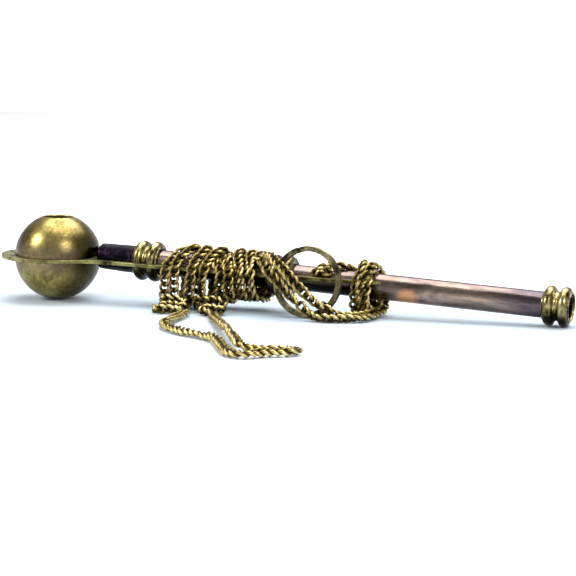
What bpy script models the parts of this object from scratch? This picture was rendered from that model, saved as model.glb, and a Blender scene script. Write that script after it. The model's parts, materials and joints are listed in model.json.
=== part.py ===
"""Boatswain's pipe with its neck chain wound round it, lying on a table.

Lengths are in millimetres and become metres only where a mesh is made. Three frames are used:
the keel frame (origin at the buoy's centre, X along the keel, Y across it, Z off its face),
the gun frame (origin at the nozzle's tip, X along the bore), and the table's frame (+Z up).
The gun sits a little proud of the keel at the buoy and droops towards the mouth.
"""

import math

import bmesh
import bpy
from mathutils import Matrix, Vector

MM = 0.001

# Buoy: two spun bowls soldered to the keel's faces.
BUOY_R = 10.0
BUOY_WALL = 0.6
SOUND_HOLE_R = 3.4
MOUTH_SLOT_WIDTH = 3.6
MOUTH_SLOT_HEIGHT = 2.4

# Keel: one flat plate, a disc round the buoy that runs out into a strip beside the gun.
KEEL_THICKNESS = 0.8
KEEL_TILT = math.radians(1.62)
KEEL_DISC_R = BUOY_R + 1.7
KEEL_DISC_SETBACK = 1.6
KEEL_CHAMBER_R = BUOY_R - 1.0
KEEL_EDGE = 5.2
KEEL_FLARE = 9.5
KEEL_LENGTH = 80.3
KEEL_TAPER = 24.0
KEEL_TIP_EDGE = 3.6
LOBE_AT = 57.5
LOBE_OUT = KEEL_EDGE + 1.8
LOBE_R = 2.3
LOBE_FLARE = 1.2
RING_HOLE_R = 1.35

# Gun: a tapered nozzle and a drawn tube, both copper.
GUN_START = BUOY_R + 1.3
GUN_END = 121.6
GUN_RISE = 0.88
TUBE_R = 2.85
TUBE_WALL = 0.55
TUBE_BORE_R = TUBE_R - TUBE_WALL
NOZZLE_TIP_R = TUBE_R + 0.1
NOZZLE_ROOT_R = TUBE_R + 0.35
NOZZLE_BORE_R = 1.7
NOZZLE_TIP_ROUND = 0.45
NOZZLE_THROAT = 2.5
NOZZLE_STRAIGHT = 3.0

# Collars: turned brass with two beads each.
COLLAR_LENGTH = 6.0
COLLAR_BEAD_R = TUBE_R + 1.75
MOUTH_BEAD_R = TUBE_R + 1.45
BEAD_ARC = 1.35
BEAD_SPACING = 0.55 * COLLAR_LENGTH
LIP_DROP = 0.75
LIP_BREAK = 0.1
FRONT_COLLAR_AT = 23.6
MIDDLE_COLLAR_AT = 56.3
MOUTH_COLLAR_AT = GUN_END - 2.6

# Split ring, threaded through the keel's lobe, and the link that ties the chain to it.
RING_MEAN_R = 7.25
RING_BAND = 1.2
RING_COIL = 0.72
RING_GROOVE = 0.14
RING_LEAN = math.radians(8.0)
LINK_MEAN_R = 1.6
LINK_WIRE_R = 0.3
LINK_OUT = 0.2
LINK_FORWARD = 0.35
LINK_ANGLE = math.radians(-47.0)

# Neck chain. A winding is a sleeve round the gun, and round the keel's strip on the near side.
CHAIN_D = 2.0
WINDING_HALF = 1.15
WINDING_SQUARENESS = 3.2
WINDING_SLACK = 0.25
WINDING_SLACK_FAR = 0.6
MOUTH_WINDING_PAST_KEEL = 0.5
CORD_SPACING = 2.6

# Clearances.
SOLDER_GAP = 0.06
SLOT_GAP = 0.15
CORD_GAP = 0.3
COLLAR_TO_WINDING = 0.6
RING_TO_WINDING = 0.8
TABLE_GAP = 0.02

# How finely round shapes are cut.
BUOY_STEPS = 44
GUN_STEPS = 32
COLLAR_STEPS = 36
RING_STEPS = 64
LINK_STEPS = 24
WIRE_STEPS = 8
WINDING_STEPS = 32

COLOURS = {
    "brass": ((0.50, 0.38, 0.12), 0.36),
    "copper": ((0.33, 0.17, 0.12), 0.34),
    "dark_copper": ((0.035, 0.022, 0.032), 0.42),
    "ring_brass": ((0.36, 0.32, 0.16), 0.38),
    "chain_brass": ((0.48, 0.34, 0.11), 0.35),
}

# Where the gun lies: its tip stands over the keel, and its mouth collar rests on the table.
gun_tip = Vector(
    (
        GUN_START * math.cos(KEEL_TILT) + GUN_RISE * math.sin(KEEL_TILT),
        0.0,
        BUOY_R - GUN_START * math.sin(KEEL_TILT) + GUN_RISE * math.cos(KEEL_TILT),
    )
)
mouth_bead_at = MOUTH_COLLAR_AT + BEAD_SPACING / 2 - GUN_START
# The last bead's lowest point is one bead radius under the axis, square to it.
gun_tilt = 0.0
for _ in range(8):
    gun_tilt = math.asin((gun_tip.z - MOUTH_BEAD_R * math.cos(gun_tilt)) / mouth_bead_at)

mouth_end = MOUTH_COLLAR_AT + COLLAR_LENGTH / 2
low_x = -(KEEL_DISC_R + KEEL_DISC_SETBACK) * math.cos(KEEL_TILT)
high_x = (
    gun_tip.x
    + (mouth_end - GUN_START) * math.cos(gun_tilt)
    + (MOUTH_BEAD_R - LIP_DROP - LIP_BREAK) * math.sin(gun_tilt)
)
# The origin is under the middle of the pipe's length.
buoy_x = -(low_x + high_x) / 2


def gun_height(x):
    """Height of the gun's axis over the table, x measured from the buoy's centre."""
    return gun_tip.z - (x - gun_tip.x) * math.tan(gun_tilt)


def keel_height(x):
    """Height of the keel's middle over the table, x measured from the buoy's centre."""
    return BUOY_R - x * math.tan(KEEL_TILT)


def clear_scene():
    for obj in list(bpy.data.objects):
        bpy.data.objects.remove(obj, do_unlink=True)


def make_material(name):
    colour, roughness = COLOURS[name]
    material = bpy.data.materials.new(name)
    material.use_nodes = True
    shader = material.node_tree.nodes["Principled BSDF"]
    shader.inputs["Base Color"].default_value = (*colour, 1.0)
    shader.inputs["Metallic"].default_value = 1.0
    shader.inputs["Roughness"].default_value = roughness
    return material


def add_object(name, data, material, parent=None):
    """Link an object, give it its material and stand it in its parent's frame."""
    obj = bpy.data.objects.new(name, data)
    bpy.context.scene.collection.objects.link(obj)
    if material:
        data.materials.append(materials[material])
    obj.parent = parent
    return obj


def add_frame(name, location, tilt=0.0):
    frame = bpy.data.objects.new(name, None)
    bpy.context.scene.collection.objects.link(frame)
    frame.location = Vector(location) * MM
    frame.rotation_euler = (0.0, tilt, 0.0)
    return frame


def finish_mesh(bm, name, sharp=40.0):
    bmesh.ops.remove_doubles(bm, verts=bm.verts, dist=1e-6)
    bmesh.ops.recalc_face_normals(bm, faces=bm.faces)
    mesh = bpy.data.meshes.new(name)
    bm.to_mesh(mesh)
    bm.free()
    mesh.shade_smooth()
    mesh.set_sharp_from_angle(angle=math.radians(sharp))
    return mesh


def turned_mesh(name, profile, axis, steps, ring=True):
    """Spin (along, radius) points round the X or Z axis. A ring's profile closes on itself."""
    bm = bmesh.new()
    along = Vector((1, 0, 0)) if axis == "X" else Vector((0, 0, 1))
    out = Vector((0, 0, 1)) if axis == "X" else Vector((1, 0, 0))
    verts = [bm.verts.new((along * a + out * r) * MM) for a, r in profile]
    pairs = list(zip(verts, verts[1:]))
    if ring:
        pairs.append((verts[-1], verts[0]))
    edges = [bm.edges.new(pair) for pair in pairs]
    bmesh.ops.spin(
        bm,
        geom=verts + edges,
        cent=(0, 0, 0),
        axis=along,
        angle=math.tau,
        steps=steps,
        use_merge=True,
    )
    return finish_mesh(bm, name)


def arc(centre, radius, start, stop, count):
    """Points on a circle between two angles in degrees."""
    angles = [math.radians(start + (stop - start) * i / count) for i in range(count + 1)]
    return [
        (centre[0] + radius * math.cos(a), centre[1] + radius * math.sin(a)) for a in angles
    ]


def box_mesh(name, low, high):
    bm = bmesh.new()
    bmesh.ops.create_cube(bm, size=1.0)
    size = Vector(high) - Vector(low)
    centre = (Vector(high) + Vector(low)) / 2
    bmesh.ops.transform(bm, matrix=Matrix.Diagonal((*(size * MM), 1.0)), verts=bm.verts)
    bmesh.ops.translate(bm, vec=centre * MM, verts=bm.verts)
    mesh = bpy.data.meshes.new(name)
    bm.to_mesh(mesh)
    bm.free()
    return mesh


def cut(obj, cutter):
    modifier = obj.modifiers.new("cut_" + cutter.name, "BOOLEAN")
    modifier.operation = "DIFFERENCE"
    modifier.object = cutter
    modifier.solver = "EXACT"


def as_cutter(obj):
    obj.hide_render = True
    obj.display_type = "WIRE"
    return obj


def bowl_profile(hole_r):
    """Half of the buoy, rim down: outer arc from the pole or its hole to the rim, inner arc back."""
    rim = KEEL_THICKNESS / 2 + SOLDER_GAP
    inner = BUOY_R - BUOY_WALL
    steps = 12
    points = []
    for radius, order in ((BUOY_R, range(steps, -1, -1)), (inner, range(steps + 1))):
        low = math.asin(rim / radius)
        high = math.acos(hole_r / radius)
        for i in order:
            angle = low + (high - low) * i / steps
            points.append((radius * math.sin(angle), radius * math.cos(angle)))
    return points


def build_buoy():
    upper = add_object(
        "buoy_upper_bowl",
        turned_mesh("buoy_upper_bowl", bowl_profile(SOUND_HOLE_R), "Z", BUOY_STEPS),
        "brass",
        keel_frame,
    )
    slot = box_mesh(
        "mouth_slot",
        (BUOY_R - 3.0, -MOUTH_SLOT_WIDTH / 2, -1.0),
        (BUOY_R + 2.0, MOUTH_SLOT_WIDTH / 2, KEEL_THICKNESS / 2 + MOUTH_SLOT_HEIGHT),
    )
    cut(upper, as_cutter(add_object("mouth_slot", slot, None, keel_frame)))
    lower = add_object(
        "buoy_lower_bowl",
        turned_mesh("buoy_lower_bowl", bowl_profile(0.0), "Z", BUOY_STEPS, ring=False),
        "brass",
        keel_frame,
    )
    lower.rotation_euler = (math.pi, 0.0, 0.0)


def strip_edge(x):
    """How far the strip's outer edge stands off the keel's middle, x along the keel."""
    flare_start = KEEL_DISC_R * math.cos(math.radians(45)) - KEEL_DISC_SETBACK
    flare_end = flare_start + KEEL_FLARE
    wide = KEEL_DISC_R * math.sin(math.radians(45))
    if x < flare_end:
        share = (x - flare_start) / (flare_end - flare_start)
        return KEEL_EDGE + (wide - KEEL_EDGE) * (1 - share) ** 2
    taper_start = KEEL_LENGTH - KEEL_TAPER
    if x > taper_start:
        return KEEL_EDGE + (KEEL_TIP_EDGE - KEEL_EDGE) * (x - taper_start) / KEEL_TAPER
    return KEEL_EDGE


def keel_outline():
    """Disc, strip with its lobe, pointed end, and the edge that follows the gun back."""
    def disc_to(edge):
        return math.degrees(math.asin(edge / KEEL_DISC_R))

    inner_nozzle = NOZZLE_ROOT_R + SLOT_GAP
    inner_tube = TUBE_R + SLOT_GAP
    points = arc((-KEEL_DISC_SETBACK, 0), KEEL_DISC_R, -disc_to(inner_nozzle), 315, 64)
    flare_start = points[-1][0]
    lobe_half = LOBE_R + LOBE_FLARE
    for i in range(1, 9):
        x = flare_start + KEEL_FLARE * i / 8
        points.append((x, -strip_edge(x)))
    points.append((LOBE_AT - lobe_half, -strip_edge(LOBE_AT - lobe_half)))
    points += arc((LOBE_AT, -LOBE_OUT), LOBE_R, 180, 360, 16)
    points.append((LOBE_AT + lobe_half, -strip_edge(LOBE_AT + lobe_half)))
    points.append((KEEL_LENGTH - 2.0, -strip_edge(KEEL_LENGTH - 2.0)))
    points.append((KEEL_LENGTH, -inner_tube))
    step_at = FRONT_COLLAR_AT + COLLAR_LENGTH / 2
    points.append((step_at + COLLAR_TO_WINDING, -inner_tube))
    points.append((step_at, -inner_nozzle))
    return points


def add_loop(curve, points):
    spline = curve.splines.new("POLY")
    spline.points.add(len(points) - 1)
    for point, (x, y) in zip(spline.points, points):
        point.co = (x * MM, y * MM, 0.0, 1.0)
    spline.use_cyclic_u = True


def build_keel():
    curve = bpy.data.curves.new("keel", "CURVE")
    curve.dimensions = "2D"
    curve.fill_mode = "BOTH"
    curve.extrude = KEEL_THICKNESS / 2 * MM
    add_loop(curve, keel_outline())
    add_loop(curve, arc((0, 0), KEEL_CHAMBER_R, 0, 360, 48)[:-1])
    add_loop(curve, arc((LOBE_AT, -LOBE_OUT), RING_HOLE_R, 0, 360, 20)[:-1])
    add_object("keel", curve, "brass", keel_frame)


def build_gun():
    """The nozzle and the tube butt inside the front collar."""
    joint = FRONT_COLLAR_AT - GUN_START
    step = SOLDER_GAP / 2
    rounding = (NOZZLE_TIP_ROUND, NOZZLE_TIP_R - NOZZLE_TIP_ROUND)
    nozzle = [(0.0, NOZZLE_BORE_R)] + arc(rounding, NOZZLE_TIP_ROUND, 180, 90, 2)
    nozzle += [(joint - NOZZLE_STRAIGHT, NOZZLE_ROOT_R), (joint - step, NOZZLE_ROOT_R)]
    nozzle += [(joint - step, TUBE_BORE_R), (NOZZLE_THROAT, TUBE_BORE_R)]
    nozzle_mesh = turned_mesh("gun_nozzle", nozzle, "X", GUN_STEPS)
    add_object("gun_nozzle", nozzle_mesh, "dark_copper", gun_frame)
    end = GUN_END - GUN_START
    tube = [(joint + step, TUBE_BORE_R), (joint + step, TUBE_R), (end, TUBE_R), (end, TUBE_BORE_R)]
    add_object("gun_tube", turned_mesh("gun_tube", tube, "X", GUN_STEPS), "copper", gun_frame)


def collar_profile(centre, bead_r, bore):
    """Two round beads with a groove between them. bore is a list of (along, radius) points."""
    core = bead_r - BEAD_ARC
    half = COLLAR_LENGTH / 2
    lip = bead_r - LIP_DROP
    points = [(-half, lip - LIP_BREAK), (-half + LIP_BREAK, lip)]
    for side in (-1, 1):
        points += arc((side * BEAD_SPACING / 2, core), BEAD_ARC, 160, 20, 6)
    points += [(half - LIP_BREAK, lip), (half, lip - LIP_BREAK)]
    return [(centre + a, r) for a, r in points] + [(centre + a, r) for a, r in bore]


def build_collars():
    half = COLLAR_LENGTH / 2
    tube_fit = TUBE_R + SOLDER_GAP
    nozzle_fit = NOZZLE_ROOT_R + SOLDER_GAP
    keel_slot = add_object(
        "keel_slot",
        box_mesh(
            "keel_slot",
            (GUN_START, -2 * COLLAR_BEAD_R, -KEEL_THICKNESS / 2 - SLOT_GAP),
            (KEEL_LENGTH, -TUBE_R, KEEL_THICKNESS / 2 + SLOT_GAP),
        ),
        None,
        keel_frame,
    )
    as_cutter(keel_slot)
    front_bore = [(half, tube_fit), (0.0, tube_fit), (0.0, nozzle_fit), (-half, nozzle_fit)]
    plain_bore = [(half, tube_fit), (-half, tube_fit)]
    for name, place, bore in (
        ("front_collar", FRONT_COLLAR_AT, front_bore),
        ("middle_collar", MIDDLE_COLLAR_AT, plain_bore),
    ):
        profile = collar_profile(place - GUN_START, COLLAR_BEAD_R, bore)
        mesh = turned_mesh(name, profile, "X", COLLAR_STEPS)
        collar = add_object(name, mesh, "brass", gun_frame)
        cut(collar, keel_slot)
    profile = collar_profile(
        MOUTH_COLLAR_AT - GUN_START, MOUTH_BEAD_R, [(half, tube_fit), (-half, tube_fit)]
    )
    mesh = turned_mesh("mouth_collar", profile, "X", COLLAR_STEPS)
    add_object("mouth_collar", mesh, "brass", gun_frame)


def ring_to_table(point):
    """Stand a point of the ring's own frame (X right, Y off its face, Z up) on the table."""
    x, y, z = point
    turned_y = y * math.cos(RING_LEAN) + z * math.sin(RING_LEAN)
    turned_z = z * math.cos(RING_LEAN) - y * math.sin(RING_LEAN)
    return Vector((x + ring_centre.x, turned_y + ring_centre.y, turned_z + ring_centre.z))


def join_loops(bm, loops):
    """Quads between each loop of points and the next, the last one joined to the first."""
    for loop, following in zip(loops, loops[1:] + loops[:1]):
        for j in range(len(loop)):
            k = (j + 1) % len(loop)
            bm.faces.new((loop[j], loop[k], following[k], following[j]))


def build_ring():
    """One closed band as thick as two coils, with a groove inside and outside where they meet."""
    half_band = RING_BAND / 2
    half_groove = RING_GROOVE / 2
    bottom = half_band - RING_GROOVE
    outer = [(half_band, -RING_COIL), (half_band, -half_groove), (bottom, 0.0)]
    outer += [(half_band, half_groove), (half_band, RING_COIL)]
    section = outer + [(-r, -y) for r, y in outer]
    bm = bmesh.new()
    loops = []
    for i in range(RING_STEPS):
        angle = math.tau * i / RING_STEPS
        radial = Vector((math.cos(angle), 0.0, math.sin(angle)))
        loop = []
        for r, y in section:
            place = ring_to_table(radial * (RING_MEAN_R + r) + Vector((0.0, y, 0.0)))
            loop.append(bm.verts.new((place - ring_pivot) * MM))
        loops.append(loop)
    join_loops(bm, loops)
    add_object("split_ring", finish_mesh(bm, "split_ring"), "ring_brass", ring_frame)


def build_link():
    """A round wire link through the ring, its axis along the ring's band."""
    radial = Vector((math.cos(LINK_ANGLE), 0.0, math.sin(LINK_ANGLE)))
    across = Vector((0.0, 1.0, 0.0))
    along = radial.cross(across)
    middle = radial * (RING_MEAN_R + LINK_OUT) - across * LINK_FORWARD
    bm = bmesh.new()
    loops = []
    for i in range(LINK_STEPS):
        angle = math.tau * i / LINK_STEPS
        out = radial * math.cos(angle) + across * math.sin(angle)
        loop = []
        for j in range(WIRE_STEPS):
            turn = math.tau * j / WIRE_STEPS
            offset = out * math.cos(turn) + along * math.sin(turn)
            place = ring_to_table(middle + out * LINK_MEAN_R + offset * LINK_WIRE_R)
            loop.append(bm.verts.new((place - ring_pivot) * MM))
        loops.append(loop)
    join_loops(bm, loops)
    add_object("jump_link", finish_mesh(bm, "jump_link"), "chain_brass", ring_frame)


def winding_section(x, grow):
    """The oval that a turn of chain takes at x: over the gun, outside the keel, down to the table."""
    top = gun_height(x) + winding_reach
    bottom = WINDING_HALF + TABLE_GAP
    middle_y = (reach_far - reach_near) / 2
    half_y = (reach_far + reach_near) / 2 + grow
    middle_z = (top + bottom) / 2
    half_z = (top - bottom) / 2 + grow
    points = []
    for i in range(WINDING_STEPS):
        c = math.cos(math.tau * i / WINDING_STEPS)
        s = math.sin(math.tau * i / WINDING_STEPS)
        y = middle_y + half_y * math.copysign(abs(c) ** (2 / WINDING_SQUARENESS), c)
        z = middle_z + half_z * math.copysign(abs(s) ** (2 / WINDING_SQUARENESS), s)
        points.append(Vector((x + buoy_x, y, z)))
    return points


def build_winding(name, start, stop):
    """The outer shape of one winding: an open oval sleeve round the gun and the keel."""
    bm = bmesh.new()
    places = [start + (stop - start) * i / 4 for i in range(5)]
    sections = [winding_section(x, WINDING_HALF) for x in places]
    sections += [winding_section(x, -WINDING_HALF) for x in reversed(places)]
    join_loops(bm, [[bm.verts.new(point * MM) for point in section] for section in sections])
    add_object(name, finish_mesh(bm, name), "chain_brass")


def smooth_route(points, spacing):
    """A Catmull-Rom curve through the points, read about every spacing millimetres."""
    ends = [points[0] * 2 - points[1], *points, points[-1] * 2 - points[-2]]
    route = []
    for p0, p1, p2, p3 in zip(ends, ends[1:], ends[2:], ends[3:]):
        count = max(1, round((p2 - p1).length / spacing))
        for i in range(count):
            t = i / count
            route.append(
                p1
                + (p2 - p0) * (t / 2)
                + (p0 * 2 - p1 * 5 + p2 * 4 - p3) * (t * t / 2)
                + (p1 * 3 - p0 - p2 * 3 + p3) * (t * t * t / 2)
            )
    route.append(points[-1])
    return route


def build_cord(name, points):
    """A plain tube along a free stretch of chain."""
    near_face = reach_near + WINDING_HALF
    places = []
    for x, y, share in points:
        z = FLOOR + (run_height - FLOOR) * share
        places.append(Vector((x + buoy_x, y - near_face, z)))
    route = smooth_route(places, CORD_SPACING)
    curve = bpy.data.curves.new(name, "CURVE")
    curve.dimensions = "3D"
    curve.bevel_depth = CHAIN_D / 2 * MM
    curve.bevel_resolution = 2
    curve.use_fill_caps = True
    spline = curve.splines.new("POLY")
    spline.points.add(len(route) - 1)
    for point, place in zip(spline.points, route):
        point.co = (*(place * MM), 1.0)
    add_object(name, curve, "chain_brass")


# Free stretches of the chain: x from the buoy's centre, y from the windings' near face, and the height
# as a share of run_height, counted from FLOOR, where a strand lies on the table.
FLOOR = CHAIN_D / 2 + TABLE_GAP
TAIL = [
    (28.9, -1.25, 0), (30.4, -3.65, 0), (34.2, -4.75, 0), (38.0, -5.35, 0),
    (39.6, -9.55, 0), (40.2, -16.45, 0), (41.0, -21.75, 0), (42.8, -25.55, 0),
    (45.8, -28.75, 0), (49.4, -31.45, 0), (53.6, -33.65, 0), (57.4, -35.85, 0),
    (60.4, -39.35, 0), (63.2, -44.15, 0), (66.0, -48.85, 0), (68.9, -52.55, 0),
    (71.9, -53.55, 0), (74.0, -51.15, 0), (76.2, -49.45, 0), (78.8, -48.15, 0),
    (80.3, -46.45, 0), (79.0, -44.75, 0), (76.2, -44.95, 0), (73.4, -46.35, 0),
    (71.4, -48.55, 0), (69.6, -49.15, 0), (67.8, -46.55, 0), (65.4, -42.35, 0),
    (62.8, -37.75, 0), (60.6, -33.95, 0), (57.0, -27.95, 0), (52.6, -19.95, 0),
    (48.4, -12.35, 0), (44.8, -5.55, 0), (42.4, -1.25, 0),
]
RUN_OUTER = [
    (54.2, 4.65, 1.79), (56.2, 1.45, 1.70), (58.2, -1.35, 1.57), (60.3, -2.85, 1.38),
    (61.8, -3.15, 1.17), (63.1, -3.15, 0.96), (64.5, -3.15, 0.79), (65.9, -3.15, 0.62),
    (67.4, -3.25, 0.50), (69.2, -3.55, 0.35), (71.2, -2.95, 0.20), (73.2, -1.85, 0.04),
    (75.6, -0.35, 0),
]
RUN_INNER = [
    (54.1, 2.85, 1.48), (55.4, -0.55, 1.38), (57.2, -2.85, 1.22), (59.3, -3.25, 0.98),
    (61.0, -3.35, 0.73), (62.4, -3.35, 0.55), (64.1, -3.45, 0.39), (65.8, -3.55, 0.21),
    (67.5, -3.95, 0.07), (69.2, -4.45, 0), (71.4, -4.75, 0), (74.0, -4.05, 0),
    (76.6, -2.65, 0), (78.4, -0.95, 0),
]

clear_scene()
bpy.context.scene.unit_settings.system = "METRIC"
materials = {name: make_material(name) for name in COLOURS}
keel_frame = add_frame("keel_frame", (buoy_x, 0.0, BUOY_R), KEEL_TILT)
gun_frame = add_frame("gun_frame", gun_tip + Vector((buoy_x, 0, 0)), gun_tilt)

# The ring hangs in the lobe by its side and stands on the table.
ring_low = (RING_MEAN_R + RING_BAND / 2) * math.cos(RING_LEAN) + RING_COIL * math.sin(RING_LEAN)
lobe_height = keel_height(LOBE_AT * math.cos(KEEL_TILT))
ring_centre = Vector((0.0, -LOBE_OUT, ring_low + TABLE_GAP))
rise = (lobe_height - ring_centre.z) / math.cos(RING_LEAN)
ring_centre.x = buoy_x + LOBE_AT * math.cos(KEEL_TILT) + math.sqrt(RING_MEAN_R**2 - rise**2)
ring_centre.y -= rise * math.sin(RING_LEAN)
ring_pivot = Vector((buoy_x + LOBE_AT * math.cos(KEEL_TILT), -LOBE_OUT, lobe_height))
ring_frame = add_frame("ring_frame", ring_pivot)
# The loose runs clear whichever is higher, the lobe or the ring's middle.
run_height = max(lobe_height, ring_centre.z)

build_buoy()
build_keel()
build_gun()
build_collars()
build_ring()
build_link()
# The turns run from the front collar to the middle one, and from past the ring to the keel's end.
winding_start = FRONT_COLLAR_AT + COLLAR_LENGTH / 2 + COLLAR_TO_WINDING
winding_stop = MIDDLE_COLLAR_AT - COLLAR_LENGTH / 2 - COLLAR_TO_WINDING
ring_far_side = ring_centre.x - buoy_x + RING_MEAN_R + RING_BAND / 2
winding_reach = TUBE_R + CORD_GAP + WINDING_HALF
reach_far = winding_reach + WINDING_SLACK_FAR
reach_near = winding_reach + KEEL_EDGE - TUBE_R + WINDING_SLACK
build_winding("chain_winding_buoy_side", winding_start, winding_stop)
build_winding(
    "chain_winding_mouth_side",
    ring_far_side + RING_TO_WINDING,
    KEEL_LENGTH + MOUTH_WINDING_PAST_KEEL,
)
build_cord("chain_tail", TAIL)
build_cord("chain_run_outer", RUN_OUTER)
build_cord("chain_run_inner", RUN_INNER)
bpy.context.view_layer.update()
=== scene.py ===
# Boatswain's pipe: ball, keel, copper gun, beaded collars, split ring and a long curb chain.
import json
import math

import bmesh
import bpy
import numpy as np
from mathutils import Matrix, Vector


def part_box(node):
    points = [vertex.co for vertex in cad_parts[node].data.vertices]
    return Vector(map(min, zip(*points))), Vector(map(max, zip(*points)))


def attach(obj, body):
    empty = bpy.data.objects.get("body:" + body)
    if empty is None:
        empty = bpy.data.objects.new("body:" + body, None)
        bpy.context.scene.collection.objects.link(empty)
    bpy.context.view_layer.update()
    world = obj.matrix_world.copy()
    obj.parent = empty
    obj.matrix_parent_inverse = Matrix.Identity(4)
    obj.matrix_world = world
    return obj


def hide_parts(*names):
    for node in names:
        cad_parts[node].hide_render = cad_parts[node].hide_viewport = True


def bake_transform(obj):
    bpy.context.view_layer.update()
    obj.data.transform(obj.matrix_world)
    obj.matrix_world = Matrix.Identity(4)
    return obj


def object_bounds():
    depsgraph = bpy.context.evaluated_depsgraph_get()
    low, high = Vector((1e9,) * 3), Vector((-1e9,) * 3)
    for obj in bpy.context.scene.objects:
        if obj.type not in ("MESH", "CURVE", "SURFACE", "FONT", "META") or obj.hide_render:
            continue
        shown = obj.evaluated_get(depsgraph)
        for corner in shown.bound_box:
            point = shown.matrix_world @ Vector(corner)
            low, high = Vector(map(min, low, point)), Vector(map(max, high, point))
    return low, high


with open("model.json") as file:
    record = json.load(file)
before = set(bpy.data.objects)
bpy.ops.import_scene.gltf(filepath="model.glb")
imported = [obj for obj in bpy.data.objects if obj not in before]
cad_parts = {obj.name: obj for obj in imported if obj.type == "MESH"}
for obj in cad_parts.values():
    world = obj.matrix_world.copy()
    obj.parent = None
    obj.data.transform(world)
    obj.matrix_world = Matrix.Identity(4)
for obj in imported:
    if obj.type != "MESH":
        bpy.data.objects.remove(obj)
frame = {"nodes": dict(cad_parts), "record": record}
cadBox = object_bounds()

mm = 0.001
print("frame loaded:", len(frame["nodes"]), "nodes")

# Directions of the pipe: the gun's axis and open end from the record, and the keel's slope.
mounts = {m["name"]: m for m in frame["record"]["mounts"]}
gunAlong = np.array(mounts["mouth_face"]["axis"])
gunEnd = np.array(mounts["mouth_face"]["pos_m"]) / mm * (1, 0, 1)
keelTilt = math.radians(1.62)
keelUp = np.array((math.sin(keelTilt), 0.0, math.cos(keelTilt)))
bowlLow, bowlHigh = (np.array(corner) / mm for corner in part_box("buoy_lower_bowl"))
buoyRadius = bowlHigh[1]
buoyCentre = np.array(((bowlLow[0] + bowlHigh[0]) / 2, 0.0, buoyRadius))
across = np.array((0.0, 1.0, 0.0))
gunTilt = math.asin(-gunAlong[2])
gunMouthAt = 122.0  # where the open end lies along the pipe, counted from the ball's centre


def axes(along):
    # rows are the local X, Y and Z directions of a piece whose X is along
    return np.array((along, across, np.cross(along, across)))


gunAxes = axes(gunAlong)
keelAxes = axes(np.cross(across, keelUp))


def gunHeight(x):
    # height of the gun's axis where x is counted from the ball's centre
    return gunEnd[2] + (gunEnd[0] - (x + buoyCentre[0])) * math.tan(gunTilt)


# camera
camera = {"azimuth": 21.17, "elevation": 7.76, "distance": 446.1, "focal": 125.0, "aim": (57.46, 0.0, 5.29)}


def addCamera():
    a, e = math.radians(camera["azimuth"]), math.radians(camera["elevation"])
    back = np.array((math.sin(a) * math.cos(e), -math.cos(a) * math.cos(e), math.sin(e)))
    aim = np.array(camera["aim"]) + (buoyCentre[0], 0, 0)
    right = np.array((math.cos(a), math.sin(a), 0.0))
    data = bpy.data.cameras.new("camera")
    data.lens = camera["focal"]
    data.sensor_width = 36.0
    data.clip_start, data.clip_end = 0.01, 200.0
    obj = bpy.data.objects.new("camera", data)
    turn = np.eye(4)
    turn[:3, 0], turn[:3, 1], turn[:3, 2] = right, np.cross(back, right), back
    turn[:3, 3] = (aim + back * camera["distance"]) * mm
    obj.matrix_world = Matrix(turn.tolist())
    bpy.context.scene.collection.objects.link(obj)
    bpy.context.scene.camera = obj


addCamera()


# making meshes
def weld(mesh):
    # points that meet, as at a pole, become one
    work = bmesh.new()
    work.from_mesh(mesh)
    bmesh.ops.remove_doubles(work, verts=work.verts, dist=1e-7)
    work.to_mesh(mesh)
    work.free()


def newMesh(name, points, faces, sharpAngle=50.0):
    # points in mm, faces as rows of four point numbers; a shape that is inside out is turned round
    fan = faces[:, [0, 1, 2, 0, 2, 3]].reshape(-1, 3)
    a, b, c = (points[fan[:, i]] for i in range(3))
    if np.einsum("ij,ij->i", a, np.cross(b, c)).sum() < 0:
        faces = faces[:, ::-1]
    mesh = bpy.data.meshes.new(name)
    mesh.from_pydata((points * mm).tolist(), [], faces.tolist())
    weld(mesh)
    mesh.shade_smooth()
    mesh.set_sharp_from_angle(angle=math.radians(sharpAngle))
    obj = bpy.data.objects.new(name, mesh)
    bpy.context.scene.collection.objects.link(obj)
    return obj


def gridFaces(rows, columns, closeRows, closeColumns):
    # quads between neighbours on a rows by columns grid of points
    r = np.arange(rows if closeRows else rows - 1)
    c = np.arange(columns if closeColumns else columns - 1)
    r, c = (g.ravel() for g in np.meshgrid(r, c, indexing="ij"))
    nextR, nextC = (r + 1) % rows, (c + 1) % columns
    return np.stack((r * columns + c, nextR * columns + c, nextR * columns + nextC, r * columns + nextC), 1)


def turned(name, profile, origin, turnAxes, count=160, closed=True):
    # a profile of (along, radius) points carried round the local X axis:
    # point(i, t) = origin + along_i X + radius_i (cos t Y + sin t Z)
    profile = np.array(profile, float)
    t = np.linspace(0, math.tau, count, endpoint=False)
    grid = np.empty((len(profile), count, 3))
    grid[..., 0] = profile[:, :1]
    grid[..., 1] = profile[:, 1:] * np.cos(t)
    grid[..., 2] = profile[:, 1:] * np.sin(t)
    points = grid.reshape(-1, 3) @ turnAxes + origin
    return newMesh(name, points, gridFaces(len(profile), count, closed, True))


def arc(centre, radius, start, stop, count):
    t = np.radians(np.linspace(start, stop, count + 1))
    return np.stack((centre[0] + radius * np.cos(t), centre[1] + radius * np.sin(t)), 1)


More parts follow.
